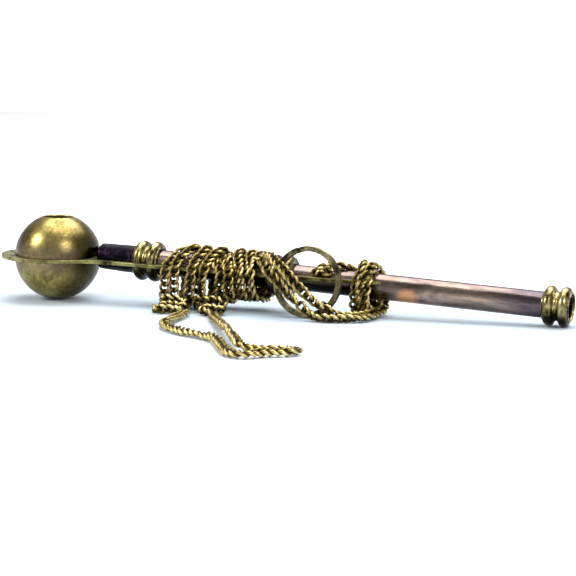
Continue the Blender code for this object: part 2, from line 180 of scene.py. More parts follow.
def curveThrough(points, spacing=0.5):
    # Catmull-Rom: each span is the cubic through its two points, with slopes taken from their neighbours
    p = np.array(points, float)
    ends = np.vstack((2 * p[0] - p[1], p, 2 * p[-1] - p[-2]))
    spans = []
    for p0, p1, p2, p3 in zip(ends, ends[1:], ends[2:], ends[3:]):
        count = max(2, int(np.linalg.norm(p2 - p1) / spacing))
        t = np.linspace(0, 1, count, endpoint=False)[:, None]
        spans.append(
            p1 + (p2 - p0) * t / 2 + (2 * p0 - 5 * p1 + 4 * p2 - p3) * t**2 / 2
            + (3 * p1 - p0 - 3 * p2 + p3) * t**3 / 2
        )
    return np.vstack((*spans, p[-1:]))


# the chain's route
chain = {
    "width": 2.7,          # across one strand
    "wire": 0.38,          # radius of a link's wire
    "pitch": 1.7,          # from link to link
    "linkTurns": 12,       # points round a link
    "wireSides": 5,        # points round its wire
    "floor": 1.02,         # a strand's middle when it lies on the table
    "heapLift": 0.9,       # how far a strand rides up on its neighbours
    "tailLift": 1.3,       # how far the tail's returning strand lies on the one below it
    "jitter": 0.22,
}
# x is counted from the ball's centre, y across (towards the viewer is less), z up from the table
tailPoints = [
    (38.0, -13.6), (39.6, -17.6), (40.2, -24.5), (41.0, -29.8), (42.8, -33.6), (45.8, -36.8), (49.4, -39.5),
    (53.6, -41.7), (57.4, -43.9), (60.4, -47.4), (63.2, -52.2), (66.0, -56.9), (68.9, -60.6), (71.9, -61.6),
    (74.0, -59.2), (76.2, -57.5), (78.8, -56.2), (80.3, -54.5), (79.0, -52.8), (76.2, -53.0), (73.4, -54.4),
    (71.4, -56.6), (69.6, -57.2), (67.8, -54.6), (65.4, -50.4), (62.8, -45.8), (60.6, -42.0), (57.0, -36.0),
    (52.6, -28.0), (48.4, -20.4), (44.8, -13.6),
]
# where the long and the short strand leave the winding, they heap up on the table before they run off
longHeap = [
    (31.0, -8.6, 2.9), (33.2, -9.6, 3.1), (35.6, -9.0, 2.3), (37.4, -10.2, 2.0), (36.6, -11.6, 1.3),
    (34.2, -11.2, 1.7), (32.2, -10.6, 1.3), (30.8, -11.8, 1.05), (31.6, -13.6, 1.05), (34.2, -13.2, 1.2),
    (36.4, -12.6, 1.05),
]
shortHeap = [
    (39.4, -8.6, 2.9), (41.6, -9.6, 2.7), (44.0, -9.2, 2.9), (46.2, -10.2, 2.0), (45.6, -11.6, 1.1),
    (43.6, -10.8, 1.6), (42.0, -11.6, 1.0), (42.8, -13.0, 1.05),
]
runOuter = [
    (52.9, -2.4, 12.7), (54.4, -4.2, 13.0), (56.2, -6.6, 13.0), (58.2, -9.3, 12.3), (60.3, -10.6, 11.1),
    (61.8, -10.9, 9.6), (63.1, -10.9, 8.1), (64.5, -10.9, 6.8), (65.9, -11.0, 5.6), (67.4, -11.2, 4.6),
    (69.2, -11.5, 3.5), (71.2, -11.0, 2.3), (73.2, -9.9, 1.2), (75.6, -8.3, 1.02),
]
runInner = [
    (52.6, -3.6, 11.4), (53.9, -5.6, 11.4), (55.4, -8.2, 10.9), (57.2, -10.4, 9.8), (59.3, -10.9, 8.1),
    (61.0, -11.0, 6.3), (62.4, -11.1, 5.0), (64.1, -11.3, 3.8), (65.8, -11.6, 2.5), (67.5, -12.0, 1.4),
    (69.2, -12.5, 1.02), (71.4, -12.8, 1.02), (74.0, -12.1, 1.02), (76.6, -10.7, 1.02), (78.4, -9.0, 1.02),
]
# the doubled end of the mouth-side half, laid over the top of the gun
bight = [
    (71.6, 4.0, 7.6), (70.2, 3.2, 9.0), (68.4, 1.2, 10.6), (66.6, -0.7, 10.8), (65.2, -2.5, 9.8),
    (65.4, -3.6, 8.7), (67.0, -3.2, 9.3), (68.8, -1.4, 10.6), (70.8, 0.8, 10.7), (72.6, 3.0, 8.9),
]
# One turn of chain, from the gun's top over the back, under the pipe and up the front. Each row is
# (share of the keel's edge, y, share of the gun's height, share of the keel's height, z,
# share of the heap's lift, how far up and in a tight turn pulls it)
turnRows = np.array([
    (0, 0, 1, 0, 3.5, 1, 0, 0), (0, 1.9, 1, 0, 2.9, 1, 0, 0), (0, 3.1, 1, 0, 1.6, 0.5, 0, 0),
    (0, 3.6, 1, 0, -0.4, 0, 0, 0), (0, 3.6, 1, 0, -2.4, 0, 0, 0), (0, 3.3, 0, 0, 3.4, 0, 0.7, 0),
    (0, 2.2, 0, 0, 1.4, 0, 1.9, 0), (0, 0.0, 0, 0, 0.85, 0, 2.1, 0), (-1, 1.6, 0, 0, 0.9, 0, 2.1, 0.6),
    (-1, -1.0, 0, 0, 2.4, 0, 1.6, 0.9), (-1, -1.1, 0, 1, -2.8, 0, 0.4, 0.5),
    (-1, -0.65, 0, 1, 0.3, 0.4, 0, 0), (-0.5, -1.3, 1, 0, 1.6, 0.7, 0, 0), (0, -1.9, 1, 0, 2.9, 1, 0, 0),
])
topRow, footRow, frontRow, rowsPerTurn = 0, 7, 11, 14
# where each turn crosses the gun's top, the table and the keel's front edge, whether it rides high, and
# whether it is drawn tight
longTurns = [
    (51.4, 52.0, 51.0, 1, 1), (48.4, 49.6, 48.4, 1, 1), (45.6, 47.4, 45.4, 1, 1), (43.2, 39.4, 39.4, 0, 0.3),
    (41.2, 36.2, 36.6, 1, 0.1), (38.0, 32.0, 32.3, 1, 0), (35.0, 30.0, 30.3, 1, 0), (33.0, 29.4, 29.4, 0, 0),
]
shortTurns = [
    (49.9, 51.0, 49.8, 0, 1), (47.0, 48.6, 47.0, 0, 1), (40.0, 44.6, 43.6, 0, 0.6), (36.6, 38.2, 38.2, 0, 0),
]
mouthTurnsOuter = [(75.8, 77.8, 79.4, 0, 0.3), (75.0, 76.4, 77.6, 1, 0.2), (73.0, 74.4, 75.4, 0, 0)]
mouthTurnsInner = [(77.6, 79.4, 78.4, 1, 0.3), (77.0, 77.6, 76.6, 0, 0.2), (74.0, 75.6, 76.0, 0, 0)]


keelPlate = {
    "taper": (56.3, 80.3),     # where the strip narrows
    "halfWidth": (5.2, 3.6),   # at the taper's start and end
    "worn": 0.16,              # how far its edges are rubbed round
}


def keelEdge(x):
    # the strip's half width, which tapers towards its end
    return np.interp(x, keelPlate["taper"], keelPlate["halfWidth"])


def wound(turns, first, last, seed):
    # a strand's turns: x goes evenly from crossing to crossing, and y and z come from the rows of one turn
    turns = np.array(turns, float)
    steps = np.arange(first, last + 1)
    knots = (np.arange(len(turns))[:, None] * rowsPerTurn + (topRow, footRow, frontRow)).ravel()
    random = np.random.default_rng(seed)
    x = np.interp(steps, knots, turns[:, :3].ravel()) + random.normal(0, chain["jitter"], len(steps))
    edge, y, gun, keel, z, lift, up, inward = turnRows[steps % rowsPerTurn].T
    high, tight = turns[np.clip((steps + 3) // rowsPerTurn, 0, len(turns) - 1), 3:].T
    heap = high * lift * chain["heapLift"]
    y = edge * keelEdge(x) + y + inward * tight - (edge < -0.4) * heap
    y = y + random.normal(0, chain["jitter"], len(steps)) * (gun == 0)
    z = gun * gunHeight(x) + keel * (buoyRadius - x * math.tan(keelTilt)) + z
    z = z + heap * (1 + edge * 0.6) + up * tight
    return np.stack((x, y, z), 1)


def chainRoutes():
    # centre lines of the two halves of the closed chain, each from the ring round its winding and back
    tail = np.array([(x, y, chain["floor"]) for x, y in tailPoints])
    # the tail's returning strand climbs onto the one below it and comes down again
    tail[21:29, 2] += chain["tailLift"] * np.array((0.3, 0.8, 1, 1, 1, 1, 0.8, 0.4))
    shortStrand = wound(shortTurns, -1, 3 * rowsPerTurn + 8, 3)
    longStrand = wound(longTurns, -1, 7 * rowsPerTurn + 8, 8)
    buoyHalf = np.vstack((
        runOuter[8::-1], shortStrand, shortHeap, tail[::-1], longHeap[::-1], longStrand[::-1], runInner[:8],
    ))
    # the mouth-side strands go the other way round, from the table up the back and over
    outerStrand = wound(mouthTurnsOuter[::-1], 4, 2 * rowsPerTurn + 8, 5)[::-1]
    innerStrand = wound(mouthTurnsInner[::-1], 4, 2 * rowsPerTurn + 8, 6)[::-1]
    mouthHalf = np.vstack((runOuter[8:], outerStrand, bight, innerStrand[::-1], runInner[:6:-1]))
    shift = np.array((buoyCentre[0], 0, 0))
    return [curveThrough(half) + shift for half in (buoyHalf, mouthHalf)]


def evenly(route, step):
    # the route read at even steps along its length
    along = np.concatenate(((0,), np.cumsum(np.linalg.norm(np.diff(route, axis=0), axis=1))))
    at = np.arange(step / 2, along[-1], step)
    return np.stack([np.interp(at, along, route[:, i]) for i in range(3)], 1), along[-1]


def lyingFrames(points):
    # along, side and face directions at each point: the face looks away from the gun's underside where the
    # chain is wound, and straight down where it lies on the table
    along = np.gradient(points, axis=0)
    along /= np.linalg.norm(along, axis=1)[:, None]
    # the change comes between 10 and 16 mm in front, and the gun's underside is about 6 mm up
    near = np.clip((16 + points[:, 1]) / 6, 0, 1)
    out = np.stack((0 * near, points[:, 1] * near, points[:, 2] - 6), 1)
    # smoothed over five links, as the two end weights are nought, so that the chain turns over gradually
    kernel = np.hanning(7) / np.hanning(7).sum()
    padded = np.pad(out, ((3, 3), (0, 0)), mode="edge")
    out = np.stack([np.convolve(column, kernel, "valid") for column in padded.T], 1)
    out -= along * np.einsum("ij,ij->i", out, along)[:, None]
    out /= np.linalg.norm(out, axis=1)[:, None]
    return along, np.cross(out, along), out


def curbChain(name, route, seed):
    # links of one wire each: round a link by t, the wire's centre is at
    # a cos t along + b sin t (cos q side + sin q face), with q = q0 + 45 deg cos t, so that
    # neighbouring links cross at about right angles and lie flat; the wire's section, a polygon, is swept
    # along that line
    centres, length = evenly(route, chain["pitch"])
    along, side, face = lyingFrames(centres)
    random = np.random.default_rng(seed)
    count = len(centres)
    slow = np.convolve(random.normal(0, 1, count + 24), np.hanning(25) / 6, "valid")
    roll = 0.6 * slow + random.normal(0, 0.17, count)
    a = chain["pitch"] / 2 + chain["wire"]
    b = chain["width"] / 2 - chain["wire"]
    t = np.linspace(0, math.tau, chain["linkTurns"], endpoint=False)
    q = roll[:, None] + math.radians(45) * np.cos(t)

    def wireCentre(t, q):
        flat = b * np.sin(t)
        return (
            (a * np.cos(t) * np.ones_like(q))[..., None] * along[:, None]
            + (flat * np.cos(q))[..., None] * side[:, None]
            + (flat * np.sin(q))[..., None] * face[:, None]
        )

    line = wireCentre(t, q)
    tangent = np.roll(line, -1, 1) - np.roll(line, 1, 1)
    tangent /= np.linalg.norm(tangent, axis=2)[..., None]
    outward = line - tangent * np.einsum("ijk,ijk->ij", line, tangent)[..., None]
    outward /= np.linalg.norm(outward, axis=2)[..., None]
    third = np.cross(tangent, outward)
    s = np.linspace(0, math.tau, chain["wireSides"], endpoint=False)
    ring = outward[:, :, None] * np.cos(s)[:, None] + third[:, :, None] * np.sin(s)[:, None]
    local = line[:, :, None] + ring * chain["wire"]
    # points past the box's low corner, under the table or past its near side, are flattened onto it
    points = np.maximum(local + centres[:, None, None], np.array(cadBox[0]) / mm + 0.01)
    one = gridFaces(chain["linkTurns"], chain["wireSides"], True, True)
    per = chain["linkTurns"] * chain["wireSides"]
    faces = (one[None] + np.arange(count)[:, None, None] * per).reshape(-1, 4)
    obj = newMesh(name, points.reshape(-1, 3), faces, sharpAngle=180.0)
    # how far out from the strand's middle a point lies: handling rubs the outermost metal bright, and the
    # metal nearer the middle is kept dark, partly as antiquing between the links and partly as painted shade
    # there
    onAxis = np.einsum("ijkl,il->ijk", local, along)
    reach = np.sqrt(np.maximum((local**2).sum(3) - onAxis**2, 0))
    hidden = 0.35  # nearer the middle than this, the wire isn't rubbed at all
    rubbed = np.clip((reach - hidden) / (chain["width"] / 2 + chain["wire"] * 0.3 - hidden), 0, 1)
    tone = np.repeat(random.uniform(0, 1, count), per)
    layer = obj.data.attributes.new("rubbed", "FLOAT", "POINT")
    layer.data.foreach_set("value", rubbed.reshape(-1).astype(np.float32))
    layer = obj.data.attributes.new("linkTone", "FLOAT", "POINT")
    layer.data.foreach_set("value", tone.astype(np.float32))
    print(name, "links", count, "length", round(length), "mm")
    return obj, length


buoyRoute, mouthRoute = chainRoutes()
chainBuoySide, buoyLength = curbChain("chainBuoySide", buoyRoute, 21)
chainMouthSide, mouthLength = curbChain("chainMouthSide", mouthRoute, 22)
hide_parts("chain_winding_buoy_side", "chain_tail", "chain_run_outer")
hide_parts("chain_winding_mouth_side", "chain_run_inner")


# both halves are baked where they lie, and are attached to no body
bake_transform(chainBuoySide)
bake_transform(chainMouthSide)
print("chain laid")

# the ball: two spun bowls
buoy = {
    "wall": 0.6,
    "soundHole": 3.4,
    "lip": 0.22,           # rounding of the sound hole's lip
    "rim": 0.46,           # how far the rims stand off the keel's middle
    "slotHalfWidth": 1.8,
    "slotTop": 2.8,
}


def bowl(name, holeRadius, normal):
    # a spherical shell about the keel's normal: (along, radius) = R (sin h, cos h), with h from the rim's
    # angle to the pole's on the outer skin, round the hole's lip, and back on the inner skin
    skins = []
    for radius in (buoyRadius, buoyRadius - buoy["wall"]):
        low = math.degrees(math.asin(buoy["rim"] / radius))
        high = math.degrees(math.acos((holeRadius + buoy["lip"] * (holeRadius > 0)) / radius))
        skins.append(arc((0, 0), radius, high, low, 70)[:, ::-1])
    outer, inner = skins[0], skins[1][::-1]
    if holeRadius:
        t = np.radians(np.linspace(-80, 80, 9))[:, None]
        middle, reach = (inner[-1] + outer[0]) / 2, (outer[0] - inner[-1]) / 2
        lip = middle + reach * np.sin(t) + np.array((0, -buoy["lip"])) * np.cos(t)
        inner = np.vstack((inner, lip))
    profile = np.vstack((outer, inner))
    turnAxes = np.array((normal, across, np.cross(normal, across)))
    return turned(name, profile, buoyCentre, turnAxes, 192, closed=holeRadius > 0)


def boxMesh(name, low, high, origin, boxAxes):
    corners = np.array([(x, y, z) for x in (0, 1) for y in (0, 1) for z in (0, 1)], float)
    points = (np.array(low) + corners * (np.array(high) - low)) @ boxAxes + origin
    faces = np.array(((0, 1, 3, 2), (4, 6, 7, 5), (0, 4, 5, 1), (2, 3, 7, 6), (0, 2, 6, 4), (1, 5, 7, 3)))
    return newMesh(name, points, faces)


def cutAway(obj, cutter):
    # the cutter's shape is taken out for good, and the cutter is deleted
    modifier = obj.modifiers.new("cut", "BOOLEAN")
    modifier.operation, modifier.solver, modifier.object = "DIFFERENCE", "EXACT", cutter
    bpy.context.view_layer.update()
    cut = bpy.data.meshes.new_from_object(obj.evaluated_get(bpy.context.evaluated_depsgraph_get()))
    obj.modifiers.clear()
    obj.data = cut
    cut.set_sharp_from_angle(angle=math.radians(50.0))
    bpy.data.objects.remove(cutter)


upperBowl = bowl("upperBowl", buoy["soundHole"], keelUp)
lowerBowl = bowl("lowerBowl", 0.0, -keelUp)
cutAway(upperBowl, boxMesh(
    "slotCutter",
    (buoyRadius - 3, -buoy["slotHalfWidth"], -1),
    (buoyRadius + 2, buoy["slotHalfWidth"], buoy["slotTop"]),
    buoyCentre, keelAxes,
))
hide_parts("buoy_upper_bowl")
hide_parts("buoy_lower_bowl")
print("ball turned")

# the gun: nozzle and tube
gun = {
    "start": 11.3, "joint": 23.6, "end": 121.6, "gap": 0.03,
    "tube": 2.85, "bore": 2.3, "nozzleTip": 2.95, "nozzleRoot": 3.2, "nozzleBore": 1.7,
    "round": 0.5,          # the nozzle's rolled tip
    "taper": (12.4, 20.6),     # where the nozzle widens to its root
    "taperFrom": 2.975,        # its radius where that starts
    "throat": (12.6, 14.0),    # where its narrow bore opens to the tube's
}


def alongGun(name, profile, count=128):
    # the profile's along is counted from the ball's centre
    profile = np.array(profile, float) - (gunMouthAt, 0)
    return turned(name, profile, gunEnd, gunAxes, count)


def buildGun():
    tip = arc((gun["start"] + gun["round"], gun["nozzleTip"] - gun["round"]), gun["round"], 180, 90, 8)
    widening = np.linspace(*gun["taper"], 24)
    outer = np.stack((widening, np.linspace(gun["taperFrom"], gun["nozzleRoot"], 24)), 1)
    outer[:, 1] += 0.03 * np.sin(outer[:, 0] * 1.9) * np.linspace(0, 1, 24)  # a slight waviness
    last = gun["joint"] - gun["gap"]
    nozzle = np.vstack((
        [(gun["start"], gun["nozzleBore"])], tip, outer, [(last, gun["nozzleRoot"]), (last, gun["bore"])],
        [(gun["throat"][1], gun["bore"]), (gun["throat"][0], gun["nozzleBore"])],
    ))
    first = gun["joint"] + gun["gap"]
    length = np.linspace(first, gun["end"], 60)
    outside = np.stack((length, np.full(60, gun["tube"])), 1)
    tube = np.vstack((outside, [(gun["end"], gun["bore"]), (first, gun["bore"])]))
    return alongGun("nozzle", nozzle), alongGun("gunTube", tube)


nozzle, gunTube = buildGun()
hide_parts("gun_nozzle")
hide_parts("gun_tube")

# collars: two beads with a groove between them
collars = {
    "length": 6.0, "bead": 1.15, "spacing": 3.3, "fit": 2.91,
    "edge": 0.12,          # rounding of the outer edges, and the break at the bore's ends
    "slit": ((12, -9, -0.55), (80, -2.85, 0.55)),      # cut out for the keel, from the ball's centre
    "frontCollar": {"at": 23.6, "radius": 4.6, "nozzleFit": 3.26},
    "middleCollar": {"at": 56.3, "radius": 4.6},
    "mouthCollar": {"at": 119.0, "radius": 4.3},
}


def beadedCollar(name, at, radius, nozzleFit=None):
    # end flat, quarter-round lip, bead arc, hollow groove arc, bead arc, lip, end flat, bore
    half, side, bead = collars["length"] / 2, collars["spacing"] / 2, collars["bead"]
    edge, fit = collars["edge"], collars["fit"]
    core = radius - bead
    lip = radius - 1.0
    leftBead = arc((-side, core), bead, 170, 35, 18)
    rightBead = arc((side, core), bead, 145, 10, 18)
    gap = rightBead[0, 0] - leftBead[-1, 0]
    hollow = arc((0, leftBead[-1, 1] + 0.02), gap / 2, 200, 340, 8)[1:-1]
    leftLip = arc((-half + edge, lip - edge), edge, 180, 90, 5)
    rightLip = arc((half - edge, lip - edge), edge, 90, 0, 5)
    bore = [(half, fit + edge), (half - edge, fit)]
    if nozzleFit:
        bore += [(0, fit), (0, nozzleFit), (-half, nozzleFit)]
    else:
        bore += [(-half + edge, fit), (-half, fit + edge)]
    profile = np.vstack((leftLip, leftBead, hollow, rightBead, rightLip, bore))
    return alongGun(name, profile + (at, 0), 144)


collarPieces = {}
for name in ("frontCollar", "middleCollar", "mouthCollar"):
    collarPieces[name] = beadedCollar(name, **collars[name])
    if name != "mouthCollar":
        cutAway(collarPieces[name], boxMesh(
            "slitCutter", *collars["slit"], buoyCentre, keelAxes,
        ))
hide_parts("front_collar")
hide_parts("middle_collar")
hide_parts("mouth_collar")
print("gun and collars turned")


# the keel: the cut plate with its edges rubbed round
def roundedKeel():
    mesh = frame["nodes"]["keel"].data.copy()
    keel = bpy.data.objects.new("keelPlate", mesh)
    bpy.context.scene.collection.objects.link(keel)
    weld(mesh)
    work = bmesh.new()
    work.from_mesh(mesh)
    bmesh.ops.dissolve_limit(work, angle_limit=math.radians(1), verts=work.verts, edges=work.edges)
    bmesh.ops.triangulate(work, faces=work.faces)
    work.to_mesh(mesh)
    work.free()
    bevel = keel.modifiers.new("worn edges", "BEVEL")
    bevel.width, bevel.segments = keelPlate["worn"] * mm, 3
    bevel.limit_method, bevel.angle_limit = "ANGLE", math.radians(60)
    mesh.shade_smooth()
    mesh.set_sharp_from_angle(angle=math.radians(35))
    return keel


keelPiece = roundedKeel()
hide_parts("keel")

# the split ring: a flat wire coiled nearly twice
splitRing = {
    "meanRadius": 7.25, "band": 1.2, "coil": 0.7, "lean": math.radians(8.0), "rounding": 0.2, "step": 0.42,
}
ringLow, ringHigh = (np.array(corner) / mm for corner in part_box("split_ring"))
ringCentre = (ringLow + ringHigh) / 2
ringUp = np.array((0.0, math.sin(splitRing["lean"]), math.cos(splitRing["lean"])))
ringRight = np.array((1.0, 0.0, 0.0))
ringFace = np.cross(ringUp, ringRight)


def sweptTube(name, line, first, second, section, closed):
    # section points (p, q) carried along a line: point = line + p first + q second; open ends are sealed
    points = line[:, None] + section[None, :, :1] * first[:, None] + section[None, :, 1:] * second[:, None]
    if not closed:
        caps = points[[0, -1]].mean(1)
        points = np.concatenate((
            np.broadcast_to(caps[0], points[:1].shape), points, np.broadcast_to(caps[1], points[:1].shape),
        ))
    faces = gridFaces(len(points), len(section), closed, True)
    return newMesh(name, points.reshape(-1, 3), faces)


def roundedBox(width, height, rounding, count=5):
    corners = ((1, 1, 0), (-1, 1, 90), (-1, -1, 180), (1, -1, 270))
    return np.vstack([
        arc((i * (width / 2 - rounding), j * (height / 2 - rounding)), rounding, start, start + 90, count)
        for i, j, start in corners
    ])


def buildSplitRing():
    # turns through nearly two circles; each coil lies half a coil off the middle, and the wire crosses
    # over in one short step
    turn = np.linspace(0, 2 - splitRing["step"] / math.tau, 260)
    overlap = np.clip((turn - 1 + splitRing["step"] / math.tau) / (splitRing["step"] / math.tau), 0, 1)
    offset = (overlap * overlap * (3 - 2 * overlap) - 0.5) * (splitRing["coil"] + 0.03)
    angle = math.radians(110) + math.tau * turn
    radial = np.cos(angle)[:, None] * ringRight + np.sin(angle)[:, None] * ringUp
    line = ringCentre + radial * splitRing["meanRadius"] + offset[:, None] * ringFace
    section = roundedBox(splitRing["band"], splitRing["coil"], splitRing["rounding"])
    return sweptTube("splitRing", line, radial, np.broadcast_to(ringFace, radial.shape), section, False)


jumpLink = {"at": math.radians(-47.0), "radius": 1.6, "wire": 0.3}


def buildJumpLink():
    low, high = (np.array(corner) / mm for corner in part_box("jump_link"))
    angle = jumpLink["at"]
    radial = math.cos(angle) * ringRight + math.sin(angle) * ringUp
    t = np.linspace(0, math.tau, 64, endpoint=False)[:, None]
    out = np.cos(t) * radial + np.sin(t) * -ringFace
    line = (low + high) / 2 + out * jumpLink["radius"]
    tangent = np.cross(radial, -ringFace)
    section = arc((0, 0), jumpLink["wire"], 0, 360, 14)[:-1]
    return sweptTube("jumpLink", line, out, np.broadcast_to(tangent, out.shape), section, True)


ringPiece = buildSplitRing()
linkPiece = buildJumpLink()
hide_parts("split_ring")
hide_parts("jump_link")
print("ring coiled")


# materials
def linear(hexColour):
    # sRGB hex to linear RGBA
    parts = [int(hexColour[i:i + 2], 16) / 255 for i in (1, 3, 5)]
    return tuple(p / 12.92 if p <= 0.04045 else ((p + 0.055) / 1.055) ** 2.4 for p in parts) + (1.0,)


def addNode(tree, kind, inputs=(), stops=(), **settings):
    # settings are the node's own, inputs are values or the sockets that feed it, stops fill a colour ramp
    made = tree.nodes.new(kind)
    for key, value in settings.items():
        setattr(made, key, value)
    for key, value in dict(inputs).items():
        if isinstance(value, bpy.types.NodeSocket):
            tree.links.new(value, made.inputs[key])
        else:
            made.inputs[key].default_value = value
    for number, (place, colour) in enumerate(stops):
        points = made.color_ramp.elements
        point = points[number] if number < 2 else points.new(place)
        point.position, point.color = place, colour
    return made


def startMaterial(name):
    material = bpy.data.materials.new(name)
    material.use_nodes = True
    tree = material.node_tree
    tree.nodes.clear()
    shader = addNode(tree, "ShaderNodeBsdfPrincipled", {"Metallic": 1.0})
    out = addNode(tree, "ShaderNodeOutputMaterial", {"Surface": shader.outputs[0]})
    return material, tree, shader


def perMetre(sizeMm):
    # a noise scale whose features are about sizeMm across
    return 1 / (sizeMm * mm)


# rubbed is where handling keeps the metal bright, patina where the darkening stays; the deepest tone is the
# darkest patina and also the colour of the painted shade on the undersides, and the underside number sets
# how strong that painted shade is
finishes = {
    "antiqued spun brass": {
        "rubbed": "#DCCC84", "patina": "#9A8A4E", "deepAndUnderShade": "#524726",
        "cloud": 9.0, "grain": 0.35, "lines": (1.0, 1.0, 1.0), "lineSize": 0.8,
        "gloss": (0.24, 0.42), "under": 0.2, "clear": (0.36, 0.78),
    },
    "antiqued sheet brass": {
        "rubbed": "#BDB684", "patina": "#7C7648", "deepAndUnderShade": "#2C2816",
        "cloud": 6.0, "grain": 0.3, "lines": (0.25, 1.0, 1.0), "lineSize": 0.4,
        "gloss": (0.3, 0.5), "under": 0.7, "clear": (0.35, 0.75),
    },
    "turned antiqued brass": {
        "rubbed": "#ECE2AA", "patina": "#948656", "deepAndUnderShade": "#110C07",
        "cloud": 3.0, "grain": 0.3, "lines": (6.0, 1.0, 1.0), "lineSize": 1.2,
        "gloss": (0.2, 0.38), "under": 0.96, "clear": (0.38, 0.76),
    },
    "blackened copper": {
        "rubbed": "#5E4A62", "patina": "#2A2230", "deepAndUnderShade": "#0E0A12",
        "cloud": 2.5, "grain": 0.25, "lines": (0.2, 1.0, 1.0), "lineSize": 0.5,
        "gloss": (0.3, 0.5), "under": 0.9, "clear": (0.5, 0.85),
    },
    "antiqued spring brass": {
        "rubbed": "#B8AC78", "patina": "#6C6248", "deepAndUnderShade": "#242018",
        "cloud": 4.0, "grain": 0.25, "lines": (1.0, 1.0, 1.0), "lineSize": 0.4,
        "gloss": (0.28, 0.46), "under": 0.2, "clear": (0.35, 0.75),
    },
}


def antiquedMetal(name):
    # metal taken to be darkened in a bath and rubbed back by hand: cloudy patches that run from bright to
    # dark, a fine mottled grain, tool lines, and painted shade that darkens the undersides
    finish = finishes[name]
    material, tree, shader = startMaterial(name)
    place = addNode(tree, "ShaderNodeTexCoord").outputs["Object"]
    cloud = addNode(tree, "ShaderNodeTexNoise", {
        "Vector": place, "Scale": perMetre(finish["cloud"]),
        "Detail": 5.0, "Roughness": 0.62, "Distortion": 0.4})
    level = addNode(tree, "ShaderNodeMapping", {
        "Vector": place, "Rotation": (0.0, -gunTilt, 0.0), "Scale": finish["lines"]})
    lines = addNode(tree, "ShaderNodeTexNoise", {
        "Vector": level.outputs[0], "Scale": perMetre(finish["lineSize"]), "Detail": 3.0, "Roughness": 0.6})
    # real grain is finer than this; it is drawn as coarse as it needs to be to show
    grain = addNode(tree, "ShaderNodeTexNoise", {
        "Vector": place, "Scale": perMetre(finish["grain"]), "Detail": 2.0, "Roughness": 0.7})
    facing = addNode(tree, "ShaderNodeSeparateXYZ", {
        "Vector": addNode(tree, "ShaderNodeNewGeometry").outputs["Normal"]})
    # painted shade: faces that look down are darkened towards the deepest tone
    under = addNode(tree, "ShaderNodeMapRange", {
        "Value": facing.outputs["Z"], "From Min": 0.25, "From Max": -0.45, "To Max": finish["under"]})
    ruled = addNode(tree, "ShaderNodeMath", {
        0: lines.outputs[0], 1: 0.35, 2: cloud.outputs[0]}, operation="MULTIPLY_ADD")
    shade = addNode(tree, "ShaderNodeMath", {
        0: grain.outputs[0], 1: 0.3, 2: ruled.outputs[0]}, operation="MULTIPLY_ADD")
    # lines and grain each add about half their strength to the clouds
    lifted = 0.33
    worn = addNode(tree, "ShaderNodeMapRange", {
        "Value": shade.outputs[0],
        "From Min": finish["clear"][0] + lifted, "From Max": finish["clear"][1] + lifted})
    tones = addNode(tree, "ShaderNodeValToRGB", {"Fac": worn.outputs[0]}, stops=(
        (0.0, linear(finish["deepAndUnderShade"])), (1.0, linear(finish["rubbed"])), (0.38, linear(finish["patina"]))))
    colour = addNode(tree, "ShaderNodeMix", {
        "Factor": under.outputs[0], 6: tones.outputs[0], 7: linear(finish["deepAndUnderShade"])}, data_type="RGBA")
    tree.links.new(colour.outputs[2], shader.inputs["Base Color"])
    gloss = addNode(tree, "ShaderNodeMapRange", {
        "Value": shade.outputs[0], "From Min": 0.6, "From Max": 1.05,
        "To Min": finish["gloss"][1], "To Max": finish["gloss"][0]})
    tree.links.new(gloss.outputs[0], shader.inputs["Roughness"])
    bump = addNode(tree, "ShaderNodeBump", {
        "Height": shade.outputs[0], "Strength": 0.35, "Distance": 0.05 * mm})
    tree.links.new(bump.outputs[0], shader.inputs["Normal"])
    return material


def ballBrass():
    # the ball's brass has two more tones painted on: a grey-pink band by the seam, whose cause isn't known,
    # and dark sides, a painted reflection of dark surroundings that doesn't move with view or lamps
    material = antiquedMetal("antiqued spun brass")
    tree = material.node_tree
    shader = tree.nodes["Principled BSDF"]
    base = shader.inputs["Base Color"].links[0].from_socket
    place = addNode(tree, "ShaderNodeTexCoord").outputs["Object"]
    centred = addNode(tree, "ShaderNodeVectorMath", {0: place, 1: tuple(-buoyCentre * mm)}, operation="ADD")
    level = addNode(tree, "ShaderNodeMapping", {
        "Vector": centred.outputs[0], "Rotation": (0.0, -keelTilt, 0.0)})
    either = addNode(tree, "ShaderNodeVectorMath", {0: level.outputs[0]}, operation="ABSOLUTE")
    apart = addNode(tree, "ShaderNodeSeparateXYZ", {"Vector": either.outputs[0]})
    seam = addNode(tree, "ShaderNodeMapRange", {
        "Value": apart.outputs["Z"], "From Min": 4.6 * mm, "From Max": 1.5 * mm, "To Max": 0.6})
    # painted reflection: the ball darkens towards its two sides
    sides = addNode(tree, "ShaderNodeMapRange", {
        "Value": apart.outputs["X"], "From Min": 0.3 * buoyRadius * mm, "From Max": 0.92 * buoyRadius * mm,
        "To Max": 0.93})
    banded = addNode(tree, "ShaderNodeMix", {
        "Factor": seam.outputs[0], 6: base, 7: linear("#6E5E54")}, data_type="RGBA")
    paintedDarkSides = addNode(tree, "ShaderNodeMix", {
        "Factor": sides.outputs[0], 6: banded.outputs[2], 7: linear("#2E2410")}, data_type="RGBA")
    tree.links.new(paintedDarkSides.outputs[2], shader.inputs["Base Color"])
    return material


